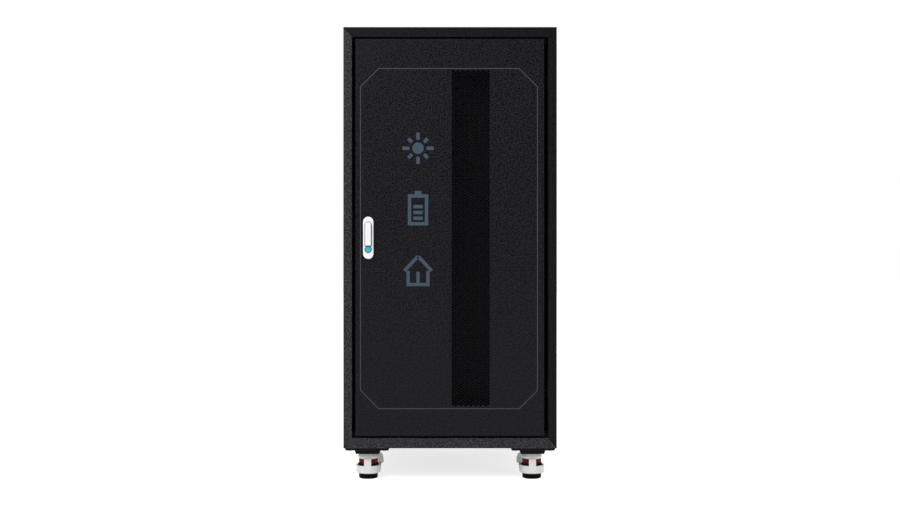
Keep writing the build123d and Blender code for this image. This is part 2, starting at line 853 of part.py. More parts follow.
def caster_thumbwheel():
    """Toothed nut ring that raises and lowers the foot."""
    high = cap_bottom - turn_gap
    low = high - thumbwheel_height
    corners = []
    for k in range(4 * thumbwheel_teeth):
        radius = thumbwheel_radius - (thumbwheel_notch if k % 4 > 1 else 0)
        angle = math.tau * (k + 0.5) / (4 * thumbwheel_teeth)
        corners.append((radius * math.cos(angle), radius * math.sin(angle)))
    ring = extrude(Pos(0, 0, low) * make_face(Polyline(*corners, close=True)), thumbwheel_height)
    return ring - upright(0, 0, low - 1, high + 1, stem_radius + stem_gap)


def caster_foot():
    """Rubber foot on a threaded stem."""
    pad = upright(0, 0, 0, foot_height, foot_radius)
    pad = chamfer(pad.edges().sort_by(Axis.Z)[0], 2)
    pad += upright(0, 0, foot_height, foot_height + 5, foot_radius - 4)
    return pad + upright(0, 0, foot_height, cap_top - foot_lift - 2, stem_radius)


corners = {
    "front_left": (-caster_x, caster_front, -caster_turn),
    "front_right": (caster_x, caster_front, caster_turn),
    "rear_left": (-caster_x, caster_back, 180 + caster_turn),
    "rear_right": (caster_x, caster_back, 180 - caster_turn),
}


def main():
    export("left_side_panel", side_panel(-1))
    export("right_side_panel", side_panel(1))
    export("top_panel", lid(top_z, top_border, -1))
    export("bottom_panel", bottom_panel())
    export("rear_panel", rear_panel())
    export("cable_gland_plate", gland_plate())
    export("cable_grommets", grommets())

    export("door_skin", door_skin())
    export("door_stiffeners", door_stiffeners())
    for name, arm_low in zip(("lower", "upper"), hinge_arm_low):
        export(f"hinge_bracket_{name}", hinge_bracket(arm_low))
        export(f"door_knuckle_{name}", door_knuckle(arm_low))
    export("door_bumpers", bumpers())
    export("strike_plate", strike())

    export("handle_base", handle_base())
    export("handle_lever", lever())
    export("handle_spindle", spindle())
    export("latch_tongue", tongue())
    export("lock_button", lock_button())

    for name, side in (("left", -1), ("right", 1)):
        export(f"front_post_{name}", front_post(side))
        export(f"rear_post_{name}", post(side, rear_post_y, -1))
        export(f"shelf_rails_{name}", shelf_rails(side))
    for k in range(module_count):
        export(f"battery_module_{k + 1}", battery_module(k))
    export("module_handles", module_handles())
    export("module_breakers", breakers())
    export("module_terminals", terminals())

    export("busbar_positive", busbar(1))
    export("busbar_negative", busbar(-1))
    export("busbar_crossbars", crossbars())
    export("busbar_insulators", insulators())
    export("earth_bar", earth_bar())

    feet = [Pos(x, y, 0) * caster_foot_plate() for x, y, turn in corners.values()]
    plates = [Pos(x, y, 0) * caster_top_plate() for x, y, turn in corners.values()]
    export("caster_foot_plates", Compound(feet))
    export("caster_top_plates", Compound(plates))
    for name, (x, y, turn) in corners.items():
        place = Pos(x, y, 0) * Rot(0, 0, turn)
        outward = 0 if y < 0 else 180
        export(f"caster_housing_{name}", place * caster_housing(outward - turn))
        export(f"caster_wheel_{name}", place * caster_wheel())
        export(f"caster_thumbwheel_{name}", place * caster_thumbwheel())
        export(f"caster_foot_{name}", place * caster_foot())


main()
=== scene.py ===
import json
import math
import bmesh
import bpy
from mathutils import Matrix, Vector

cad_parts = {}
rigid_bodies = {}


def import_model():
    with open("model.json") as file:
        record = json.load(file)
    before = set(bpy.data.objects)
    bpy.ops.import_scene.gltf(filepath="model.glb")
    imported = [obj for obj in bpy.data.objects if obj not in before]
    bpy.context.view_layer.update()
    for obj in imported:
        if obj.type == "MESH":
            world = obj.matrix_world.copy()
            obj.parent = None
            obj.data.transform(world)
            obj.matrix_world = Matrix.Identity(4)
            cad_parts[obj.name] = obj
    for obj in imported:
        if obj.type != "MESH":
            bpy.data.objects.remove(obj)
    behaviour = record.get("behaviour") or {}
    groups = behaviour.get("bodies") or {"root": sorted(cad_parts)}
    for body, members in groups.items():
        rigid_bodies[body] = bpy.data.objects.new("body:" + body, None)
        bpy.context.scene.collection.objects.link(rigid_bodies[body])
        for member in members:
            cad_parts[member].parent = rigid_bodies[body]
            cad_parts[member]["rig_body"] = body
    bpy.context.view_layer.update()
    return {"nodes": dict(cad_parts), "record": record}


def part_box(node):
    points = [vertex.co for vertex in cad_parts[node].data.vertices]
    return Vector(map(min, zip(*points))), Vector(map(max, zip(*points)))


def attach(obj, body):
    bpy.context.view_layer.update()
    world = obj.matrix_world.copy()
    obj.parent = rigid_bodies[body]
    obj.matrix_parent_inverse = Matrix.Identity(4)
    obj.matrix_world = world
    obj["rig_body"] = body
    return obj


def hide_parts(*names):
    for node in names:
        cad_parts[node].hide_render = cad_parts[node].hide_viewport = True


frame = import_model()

nodes = frame["nodes"]
corners = ("front_left", "front_right", "rear_left", "rear_right")
moduleNames = [name for name in sorted(nodes) if name.startswith("battery_module_")]

scene = bpy.context.scene
scene.view_settings.view_transform = "Standard"


# meshes
def finishPiece(obj, body, stands=()):
    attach(obj, body)
    if stands:
        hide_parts(*stands)
    return obj


def newObject(name, mesh, material=None):
    obj = bpy.data.objects.new(name, mesh)
    scene.collection.objects.link(obj)
    if material:
        mesh.materials.clear()
        mesh.materials.append(material)
    return obj


def meshFrom(name, bm, material=None):
    bmesh.ops.recalc_face_normals(bm, faces=bm.faces)
    mesh = bpy.data.meshes.new(name)
    bm.to_mesh(mesh)
    bm.free()
    return newObject(name, mesh, material)


def bevelled(obj, width, segments=3, angle=35):
    # soft edges with shading that stays flat on the faces
    bevel = obj.modifiers.new("softEdges", "BEVEL")
    bevel.width = width
    bevel.segments = segments
    bevel.limit_method = "ANGLE"
    bevel.angle_limit = math.radians(angle)
    bevel.harden_normals = True
    bevel.use_clamp_overlap = True
    for face in obj.data.polygons:
        face.use_smooth = True
    return obj


def smoothCopy(node, material, width=0.0003, segments=2, angle=30, merge=0.00001):
    # the CAD node's own surface, merged, shaded smooth and with its edges eased
    bm = bmesh.new()
    bm.from_mesh(nodes[node].data)
    bmesh.ops.remove_doubles(bm, verts=bm.verts, dist=merge)
    bmesh.ops.dissolve_limit(bm, angle_limit=math.radians(0.5), verts=bm.verts, edges=bm.edges)
    mesh = bpy.data.meshes.new(node + "_finish")
    bm.to_mesh(mesh)
    bm.free()
    obj = newObject(node + "_finish", mesh, material)
    for face in mesh.polygons:
        face.use_smooth = True
    mesh.set_sharp_from_angle(angle=math.radians(angle))
    if width:
        bevelled(obj, width, segments, angle)
    return obj


def dress(node, material, slotName=None, **options):
    obj = smoothCopy(node, material, **options)
    body = nodes[node]["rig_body"]
    return finishPiece(obj, body, [node])


def prism(name, outline, yFront, yBack, material, bevel=0.0, segments=3):
    # a plate with the outline's (x, z) corners, between two depths
    bm = bmesh.new()
    front = [bm.verts.new((x, yFront, z)) for x, z in outline]
    back = [bm.verts.new((x, yBack, z)) for x, z in outline]
    bm.faces.new(front)
    bm.faces.new(list(reversed(back)))
    count = len(outline)
    for k in range(count):
        n = (k + 1) % count
        bm.faces.new((front[k], back[k], back[n], front[n]))
    obj = meshFrom(name, bm, material)
    if bevel:
        bevelled(obj, bevel, segments)
    return obj


def sweptFrame(name, profile, x0, x1, z0, z1, material):
    # a closed profile of (inset, depth) points carried round a rectangle
    bm = bmesh.new()
    rings = []
    for inset, depth in profile:
        rings.append([bm.verts.new((x, depth, z)) for x, z in (
            (x0 + inset, z0 + inset), (x1 - inset, z0 + inset),
            (x1 - inset, z1 - inset), (x0 + inset, z1 - inset))])
    for k in range(len(rings)):
        here, there = rings[k], rings[(k + 1) % len(rings)]
        for c in range(4):
            n = (c + 1) % 4
            bm.faces.new((here[c], here[n], there[n], there[c]))
    return meshFrom(name, bm, material)


def stadium(centreX, lowZ, highZ, width, steps=14):
    radius = width / 2
    points = []
    for k in range(steps + 1):
        a = math.pi * k / steps
        points.append((centreX + radius * math.cos(a), highZ - radius + radius * math.sin(a)))
    for k in range(steps + 1):
        a = math.pi + math.pi * k / steps
        points.append((centreX + radius * math.cos(a), lowZ + radius + radius * math.sin(a)))
    return points


def stadiumAcross(lowX, highX, centreZ, height):
    return [(x, z) for z, x in stadium(centreZ, lowX, highX, height, 6)]


def disc(centreX, centreZ, radius, steps=32):
    turn = math.tau / steps
    return [(centreX + radius * math.cos(k * turn), centreZ + radius * math.sin(k * turn))
            for k in range(steps)]


def cutBoxes(obj, boxes):
    # takes boxes out of a piece and leaves a plain mesh
    bm = bmesh.new()
    for low, high in boxes:
        made = bmesh.ops.create_cube(bm, size=1.0)
        for v in made["verts"]:
            v.co = Vector(low[i] if v.co[i] < 0 else high[i] for i in range(3))
    cutter = meshFrom(obj.name + "_cutter", bm)
    cut = obj.modifiers.new("cut", "BOOLEAN")
    cut.object = cutter
    cut.operation = "DIFFERENCE"
    cut.solver = "EXACT"
    bakeModifiers(obj)
    bpy.data.objects.remove(cutter)


def bakeModifiers(obj):
    bpy.context.view_layer.update()
    evaluated = obj.evaluated_get(bpy.context.evaluated_depsgraph_get())
    mesh = bpy.data.meshes.new_from_object(evaluated)
    obj.modifiers.clear()
    obj.data = mesh


# shader groups
def addSocket(tree, name, kind, value=None, out=False):
    socket = tree.interface.new_socket(name=name, in_out="OUTPUT" if out else "INPUT",
                                       socket_type=kind)
    if value is not None:
        socket.default_value = value
    return socket


def mathNode(tree, operation, first, second=None, third=None):
    node = tree.nodes.new("ShaderNodeMath")
    node.operation = operation
    for index, value in enumerate((first, second, third)):
        if value is None:
            continue
        if isinstance(value, (int, float)):
            node.inputs[index].default_value = value
        else:
            tree.links.new(value, node.inputs[index])
    return node.outputs[0]


def noiseNode(tree, vector, scale, detail=2.0, roughness=0.5):
    node = tree.nodes.new("ShaderNodeTexNoise")
    tree.links.new(vector, node.inputs["Vector"])
    for name, value in (("Scale", scale), ("Detail", detail), ("Roughness", roughness)):
        if isinstance(value, (int, float)):
            node.inputs[name].default_value = value
        else:
            tree.links.new(value, node.inputs[name])
    return node.outputs["Fac"]


def buildGrainGroup():
    # fine orange-peel grain of a sprayed or moulded surface, with slow patches under it
    tree = bpy.data.node_groups.new("surfaceGrain", "ShaderNodeTree")
    addSocket(tree, "Vector", "NodeSocketVector")
    addSocket(tree, "Color", "NodeSocketColor", (0.5, 0.5, 0.5, 1))
    addSocket(tree, "Grain Scale", "NodeSocketFloat", 900.0)
    addSocket(tree, "Grain Amount", "NodeSocketFloat", 0.2)
    addSocket(tree, "Patch Scale", "NodeSocketFloat", 6.0)
    addSocket(tree, "Patch Amount", "NodeSocketFloat", 0.1)
    addSocket(tree, "Color", "NodeSocketColor", out=True)
    addSocket(tree, "Variation", "NodeSocketFloat", out=True)
    addSocket(tree, "Height", "NodeSocketFloat", out=True)
    source = tree.nodes.new("NodeGroupInput")
    target = tree.nodes.new("NodeGroupOutput")
    vector = source.outputs["Vector"]
    fine = noiseNode(tree, vector, source.outputs["Grain Scale"], 3.0, 0.6)
    coarseScale = mathNode(tree, "MULTIPLY", source.outputs["Grain Scale"], 0.33)
    coarse = noiseNode(tree, vector, coarseScale, 1.0)
    slow = noiseNode(tree, vector, source.outputs["Patch Scale"], 3.0)
    both = mathNode(tree, "ADD", fine, coarse)
    swing = mathNode(tree, "MULTIPLY", mathNode(tree, "SUBTRACT", both, 1.0),
                     source.outputs["Grain Amount"])
    drift = mathNode(tree, "MULTIPLY", mathNode(tree, "SUBTRACT", slow, 0.5),
                     source.outputs["Patch Amount"])
    level = mathNode(tree, "ADD", 1.0, mathNode(tree, "ADD", swing, drift))
    level = mathNode(tree, "MAXIMUM", level, 0.15)
    scaleColour = tree.nodes.new("ShaderNodeVectorMath")
    scaleColour.operation = "SCALE"
    tree.links.new(source.outputs["Color"], scaleColour.inputs[0])
    tree.links.new(level, scaleColour.inputs["Scale"])
    tree.links.new(scaleColour.outputs[0], target.inputs["Color"])
    tree.links.new(mathNode(tree, "ADD", 0.5, mathNode(tree, "ADD", swing, drift)),
                   target.inputs["Variation"])
    tree.links.new(both, target.inputs["Height"])
    return tree


def buildBrushGroup():
    # long fine scratches along one axis
    tree = bpy.data.node_groups.new("brushedLines", "ShaderNodeTree")
    addSocket(tree, "Vector", "NodeSocketVector")
    addSocket(tree, "Stretch", "NodeSocketVector", (40.0, 900.0, 900.0))
    addSocket(tree, "Amount", "NodeSocketFloat", 0.2)
    addSocket(tree, "Variation", "NodeSocketFloat", out=True)
    addSocket(tree, "Height", "NodeSocketFloat", out=True)
    source = tree.nodes.new("NodeGroupInput")
    target = tree.nodes.new("NodeGroupOutput")
    stretch = tree.nodes.new("ShaderNodeVectorMath")
    stretch.operation = "MULTIPLY"
    tree.links.new(source.outputs["Vector"], stretch.inputs[0])
    tree.links.new(source.outputs["Stretch"], stretch.inputs[1])
    lines = noiseNode(tree, stretch.outputs[0], 1.0, 2.0)
    swing = mathNode(tree, "MULTIPLY", mathNode(tree, "SUBTRACT", lines, 0.5),
                     source.outputs["Amount"])
    tree.links.new(mathNode(tree, "ADD", 0.5, swing), target.inputs["Variation"])
    tree.links.new(lines, target.inputs["Height"])
    return tree


grainGroup = buildGrainGroup()
brushGroup = buildBrushGroup()


def surface(name, colour, roughness, metallic=0.0, grain=900.0, grainAmount=0.15, patch=5.0,
            patchAmount=0.08, roughSwing=0.2, bump=0.15, bumpDistance=0.0002, brush=None,
            brushAmount=0.0, coat=0.0, specular=0.5):
    # one finish: colour, roughness and bump all vary over the surface
    material = bpy.data.materials.new(name)
    material.use_nodes = True
    tree = material.node_tree
    shader = tree.nodes["Principled BSDF"]
    shader.inputs["Metallic"].default_value = metallic
    shader.inputs["Coat Weight"].default_value = coat
    shader.inputs["Coat Roughness"].default_value = 0.12
    shader.inputs["Specular IOR Level"].default_value = specular
    place = tree.nodes.new("ShaderNodeTexCoord")
    vector = place.outputs["Object"]
    grained = tree.nodes.new("ShaderNodeGroup")
    grained.node_tree = grainGroup
    tree.links.new(vector, grained.inputs["Vector"])
    grained.inputs["Color"].default_value = (*colour, 1)
    grained.inputs["Grain Scale"].default_value = grain
    grained.inputs["Grain Amount"].default_value = grainAmount
    grained.inputs["Patch Scale"].default_value = patch
    grained.inputs["Patch Amount"].default_value = patchAmount
    tree.links.new(grained.outputs["Color"], shader.inputs["Base Color"])
    swing = mathNode(tree, "SUBTRACT", grained.outputs["Variation"], 0.5)
    rough = mathNode(tree, "MULTIPLY_ADD", swing, roughSwing, roughness)
    height = grained.outputs["Height"]
    if brush:
        lines = tree.nodes.new("ShaderNodeGroup")
        lines.node_tree = brushGroup
        tree.links.new(vector, lines.inputs["Vector"])
        lines.inputs["Stretch"].default_value = brush
        lines.inputs["Amount"].default_value = brushAmount
        rough = mathNode(tree, "ADD", rough,
                         mathNode(tree, "SUBTRACT", lines.outputs["Variation"], 0.5))
        height = mathNode(tree, "ADD", height, lines.outputs["Height"])
    tree.links.new(rough, shader.inputs["Roughness"])
    relief = tree.nodes.new("ShaderNodeBump")
    relief.inputs["Strength"].default_value = bump
    relief.inputs["Distance"].default_value = bumpDistance
    tree.links.new(height, relief.inputs["Height"])
    tree.links.new(relief.outputs["Normal"], shader.inputs["Normal"])
    return material


finishes = {
    "bodyCoat": surface("bodyCoat", (0.0180, 0.0173, 0.0192), 0.50, grain=820, grainAmount=11.0,
                        patchAmount=0.35, bump=0.5, bumpDistance=0.0003, roughSwing=0.1,
                        specular=0.16),
    # a darker copy of the body coat: painted shade for the right side and the top, which take less
    # light
    "paintedShadeCoat": surface("paintedShadeCoat", (0.0030, 0.0028, 0.0038), 0.50, grain=820, grainAmount=12.0,
                         patchAmount=0.35, bump=0.5, bumpDistance=0.0003, roughSwing=0.1,
                         specular=0.10),
    "doorCoat": surface("doorCoat", (0.0036, 0.0032, 0.0046), 0.50, grain=820, grainAmount=19.0,
                        patchAmount=0.5, bump=0.5, bumpDistance=0.0003, roughSwing=0.1,
                        specular=0.12),
    # lighter colour laid along the octagonal groove: painted highlight for the light its edges
    # catch
    "paintedGrooveHighlight": surface("paintedGrooveHighlight", (0.046, 0.045, 0.050), 0.45, grain=900, grainAmount=0.3,
                         specular=0.2),
    "symbolPaint": surface("symbolPaint", (0.043, 0.068, 0.098), 0.45, grain=900, grainAmount=0.3,
                           specular=0.2),
    "handleWhite": surface("handleWhite", (0.86, 0.86, 0.88), 0.30, grain=500, grainAmount=0.03,
                           bump=0.06, coat=0.3),
    # dark grey for the outlines round the lever and the lock button: painted shade
    "paintedGapShade": surface("paintedGapShade", (0.045, 0.045, 0.05), 0.6, grain=700, specular=0.1),
    "buttonBlue": surface("buttonBlue", (0.020, 0.42, 0.55), 0.18, grain=400, grainAmount=0.1,
                          bump=0.03, coat=0.8),
    "zincSteel": surface("zincSteel", (0.48, 0.48, 0.47), 0.38, metallic=1.0, grain=260,
                         grainAmount=0.12, patch=30, patchAmount=0.35, brush=(30, 30, 700),
                         brushAmount=0.15),
    "blackSteel": surface("blackSteel", (0.0022, 0.0022, 0.0026), 0.45, grain=600, grainAmount=0.8,
                          bump=0.3, specular=0.07),
    "moduleCase": surface("moduleCase", (0.0030, 0.0032, 0.0038), 0.50, grain=600, grainAmount=1.2,
                          bump=0.35, specular=0.05),
    "copper": surface("copper", (0.72, 0.30, 0.16), 0.30, metallic=1.0, grain=300, grainAmount=0.15,
                      patch=14, patchAmount=0.4, brush=(500, 500, 14), brushAmount=0.2),
    "insulatorRed": surface("insulatorRed", (0.28, 0.025, 0.018), 0.42, grain=500, grainAmount=0.2),
    "breakerGrey": surface("breakerGrey", (0.060, 0.062, 0.066), 0.42, grain=500, grainAmount=0.3,
                           specular=0.25),
    "postOrange": surface("postOrange", (0.42, 0.10, 0.008), 0.40, grain=500, grainAmount=0.2),
    "rubber": surface("rubber", (0.0020, 0.0020, 0.0018), 0.60, grain=900, grainAmount=0.8,
                      bump=0.5, specular=0.05),
    "casterWhite": surface("casterWhite", (0.84, 0.84, 0.80), 0.34, grain=400, grainAmount=0.05,
                           bump=0.08, coat=0.15),
    "wheelNylon": surface("wheelNylon", (0.52, 0.52, 0.49), 0.45, grain=300, grainAmount=0.1),
    "thumbRed": surface("thumbRed", (0.15, 0.001, 0.001), 0.40, grain=400, grainAmount=0.3,
                        bump=0.06, specular=0.1),
    "ledGreen": surface("ledGreen", (0.03, 0.20, 0.06), 0.25, grain=500),
}
print("finishes made")


# geometry nodes
def newGeometryTree(name, sockets):
    tree = bpy.data.node_groups.new(name, "GeometryNodeTree")
    for label, kind, value in sockets:
        addSocket(tree, label, kind, value)
    addSocket(tree, "Geometry", "NodeSocketGeometry", out=True)
    return tree


def feed(tree, node, values):
    for name, value in values.items():
        socket = node.inputs[name]
        if isinstance(value, bpy.types.NodeSocket):
            tree.links.new(value, socket)
        else:
            socket.default_value = value
    return node


def geoMath(tree, operation, first, second=0.0):
    node = tree.nodes.new("ShaderNodeMath")
    node.operation = operation
    for index, value in enumerate((first, second)):
        if isinstance(value, bpy.types.NodeSocket):
            tree.links.new(value, node.inputs[index])
        else:
            node.inputs[index].default_value = value
    return node.outputs[0]


def buildPerforatedTree():
    # a sheet with hexagonal holes on a triangular grid, drawn flat and then stood up
    tree = newGeometryTree("perforatedSheet", (
        ("Width", "NodeSocketFloat", 0.4), ("Height", "NodeSocketFloat", 0.9),
        ("Thickness", "NodeSocketFloat", 0.0015), ("Pitch", "NodeSocketFloat", 0.007),
        ("Hole", "NodeSocketFloat", 0.006), ("Columns", "NodeSocketInt", 10),
        ("Rows", "NodeSocketInt", 100), ("Centre", "NodeSocketVector", (0, 0, 0)),
        ("Grid Centre", "NodeSocketVector", (0, 0, 0)), ("Material", "NodeSocketMaterial", None)))
    source = tree.nodes.new("NodeGroupInput").outputs
    grid = tree.nodes.new("GeometryNodeMeshGrid")
    columnPitch = geoMath(tree, "MULTIPLY", source["Pitch"], math.sqrt(3) / 2)
    feed(tree, grid, {
        "Vertices X": source["Columns"], "Vertices Y": source["Rows"],
        "Size X": geoMath(tree, "MULTIPLY", columnPitch,
                          geoMath(tree, "SUBTRACT", source["Columns"], 1.0)),
        "Size Y": geoMath(tree, "MULTIPLY", source["Pitch"],
                          geoMath(tree, "SUBTRACT", source["Rows"], 1.0))})
    index = tree.nodes.new("GeometryNodeInputIndex").outputs[0]
    column = geoMath(tree, "FLOOR", geoMath(tree, "DIVIDE", index, source["Rows"]))
    odd = geoMath(tree, "MODULO", column, 2.0)
    drop = tree.nodes.new("ShaderNodeCombineXYZ")
    shift = geoMath(tree, "MULTIPLY", geoMath(tree, "SUBTRACT", odd, 0.5),
                    geoMath(tree, "MULTIPLY", source["Pitch"], -0.5))
    tree.links.new(shift, drop.inputs["Y"])
    stagger = feed(tree, tree.nodes.new("GeometryNodeSetPosition"), {
        "Geometry": grid.outputs["Mesh"], "Offset": drop.outputs[0]})
    hexagon = tree.nodes.new("GeometryNodeCurvePrimitiveCircle")
    feed(tree, hexagon, {"Resolution": 6,
                         "Radius": geoMath(tree, "DIVIDE", source["Hole"], math.sqrt(3))})
    holes = feed(tree, tree.nodes.new("GeometryNodeInstanceOnPoints"), {
        "Points": stagger.outputs[0], "Instance": hexagon.outputs["Curve"]})
    holes = feed(tree, tree.nodes.new("GeometryNodeRealizeInstances"),
                 {"Geometry": holes.outputs[0]})
    holes = feed(tree, tree.nodes.new("GeometryNodeTransform"),
                 {"Geometry": holes.outputs[0], "Translation": source["Grid Centre"]})
    edge = feed(tree, tree.nodes.new("GeometryNodeCurvePrimitiveQuadrilateral"),
                {"Width": source["Width"], "Height": source["Height"]})
    curves = tree.nodes.new("GeometryNodeJoinGeometry")
    tree.links.new(edge.outputs[0], curves.inputs[0])
    tree.links.new(holes.outputs[0], curves.inputs[0])
    sheet = feed(tree, tree.nodes.new("GeometryNodeFillCurve"), {"Curve": curves.outputs[0]})
    front = feed(tree, tree.nodes.new("GeometryNodeExtrudeMesh"), {
        "Mesh": sheet.outputs[0], "Offset Scale": source["Thickness"], "Individual": False})
    back = feed(tree, tree.nodes.new("GeometryNodeFlipFaces"), {"Mesh": sheet.outputs[0]})
    both = tree.nodes.new("GeometryNodeJoinGeometry")
    tree.links.new(front.outputs["Mesh"], both.inputs[0])
    tree.links.new(back.outputs[0], both.inputs[0])
    merged = feed(tree, tree.nodes.new("GeometryNodeMergeByDistance"),
                  {"Geometry": both.outputs[0], "Distance": 0.00001})
    upright = feed(tree, tree.nodes.new("GeometryNodeTransform"), {
        "Geometry": merged.outputs[0], "Translation": source["Centre"],
        "Rotation": (math.pi / 2, 0, 0)})
    real = feed(tree, tree.nodes.new("GeometryNodeRealizeInstances"),
                {"Geometry": upright.outputs[0]})
    painted = feed(tree, tree.nodes.new("GeometryNodeSetMaterial"),
                   {"Geometry": real.outputs[0], "Material": source["Material"]})
    tree.links.new(painted.outputs[0], tree.nodes.new("NodeGroupOutput").inputs[0])
    return tree


def buildScrewTree():
    # a domed, bevelled head with a cross recess on every point, turned at random
    tree = newGeometryTree("screwHeads", (
        ("Points", "NodeSocketGeometry", None), ("Radius", "NodeSocketFloat", 0.004),
        ("Head", "NodeSocketFloat", 0.002), ("Sides", "NodeSocketInt", 20),
        ("Facing", "NodeSocketVector", (0, 0, 0)), ("Seed", "NodeSocketInt", 3),
        ("Material", "NodeSocketMaterial", None)))
    source = tree.nodes.new("NodeGroupInput").outputs
    base = feed(tree, tree.nodes.new("GeometryNodeMeshCylinder"), {
        "Vertices": source["Sides"], "Radius": source["Radius"],
        "Depth": source["Head"]})
    top = feed(tree, tree.nodes.new("GeometryNodeMeshCone"), {
        "Vertices": source["Sides"], "Radius Bottom": source["Radius"],
        "Radius Top": geoMath(tree, "MULTIPLY", source["Radius"], 0.72),
        "Depth": geoMath(tree, "MULTIPLY", source["Head"], 0.3)})
    lift = tree.nodes.new("ShaderNodeCombineXYZ")
    tree.links.new(geoMath(tree, "MULTIPLY", source["Head"], 0.5), lift.inputs["Z"])
    top = feed(tree, tree.nodes.new("GeometryNodeTransform"),
               {"Geometry": top.outputs["Mesh"], "Translation": lift.outputs[0]})
    bar = tree.nodes.new("GeometryNodeMeshCube")
    size = tree.nodes.new("ShaderNodeCombineXYZ")
    tree.links.new(geoMath(tree, "MULTIPLY", source["Radius"], 1.0), size.inputs["X"])
    tree.links.new(geoMath(tree, "MULTIPLY", source["Radius"], 0.22), size.inputs["Y"])
    tree.links.new(source["Head"], size.inputs["Z"])
    tree.links.new(size.outputs[0], bar.inputs["Size"])
    raised = tree.nodes.new("ShaderNodeCombineXYZ")
    tree.links.new(source["Head"], raised.inputs["Z"])
    first = feed(tree, tree.nodes.new("GeometryNodeTransform"),
                 {"Geometry": bar.outputs["Mesh"], "Translation": raised.outputs[0]})
    second = feed(tree, tree.nodes.new("GeometryNodeTransform"), {
        "Geometry": first.outputs[0], "Rotation": (0, 0, math.pi / 2)})
    cut = tree.nodes.new("GeometryNodeMeshBoolean")
    cut.operation = "DIFFERENCE"
    cut.solver = "EXACT"
    solid = tree.nodes.new("GeometryNodeMeshBoolean")
    solid.operation = "UNION"
    solid.solver = "EXACT"
    for part in (base.outputs["Mesh"], top.outputs[0]):
        tree.links.new(part, solid.inputs["Mesh 2"])
    tree.links.new(solid.outputs[0], cut.inputs["Mesh 1"])
    for part in (first.outputs[0], second.outputs[0]):
        tree.links.new(part, cut.inputs["Mesh 2"])
    spin = tree.nodes.new("FunctionNodeRandomValue")
    spin.data_type = "FLOAT_VECTOR"
    spin.inputs[1].default_value = (0, 0, math.pi)
    tree.links.new(source["Seed"], spin.inputs["Seed"])
    heads = feed(tree, tree.nodes.new("GeometryNodeInstanceOnPoints"), {
        "Points": source["Points"], "Instance": cut.outputs[0],
        "Rotation": source["Facing"]})
    turned = feed(tree, tree.nodes.new("GeometryNodeRotateInstances"), {
        "Instances": heads.outputs[0], "Rotation": spin.outputs[0]})
    turned.inputs["Local Space"].default_value = True
    real = feed(tree, tree.nodes.new("GeometryNodeRealizeInstances"),
                {"Geometry": turned.outputs[0]})
    painted = feed(tree, tree.nodes.new("GeometryNodeSetMaterial"),
                   {"Geometry": real.outputs[0], "Material": source["Material"]})
    tree.links.new(painted.outputs[0], tree.nodes.new("NodeGroupOutput").inputs[0])
    return tree


def runTree(obj, tree, values):
    # sets the named inputs by their identifiers, evaluates once and keeps the plain mesh
    modifier = obj.modifiers.new(tree.name, "NODES")
    modifier.node_group = tree
    for item in tree.interface.items_tree:
        if item.item_type == "SOCKET" and item.in_out == "INPUT" and item.name in values:
            modifier[item.identifier] = values[item.name]
    bakeModifiers(obj)
    return obj


perforatedTree = buildPerforatedTree()
screwTree = buildScrewTree()
facings = {"front": (math.pi / 2, 0, 0), "back": (-math.pi / 2, 0, 0), "down": (math.pi, 0, 0)}


def screws(name, points, facing, body, material, radius=0.004, head=0.002, sides=20):
    mesh = bpy.data.meshes.new(name)
    mesh.from_pydata([tuple(p) for p in points], [], [])
    obj = newObject(name, mesh)
    runTree(obj, screwTree, {"Radius": radius, "Head": head, "Sides": sides,
                             "Facing": facings.get(facing, facing), "Seed": len(points),
                             "Material": finishes[material]})
    return finishPiece(obj, body)


# door
doorSizes = {"sheet": 0.0015, "bend": 0.002, "lip": 0.012, "pitch": 0.00724, "web": 0.0009,
             "columns": 15, "rows": 115, "gridCentre": 0.0513, "topMargin": 0.0074,
             "grooveLeft": 0.012, "grooveRight": 0.016, "grooveTop": 0.073, "grooveBottom": 0.067,
             "chamfer": 0.046, "line": 0.0022, "lineProud": 0.00015, "lineEase": 0.0002,
             "notch": 0.003, "slotGap": 0.0003, "slotSide": 0.004, "slotOver": 0.001}


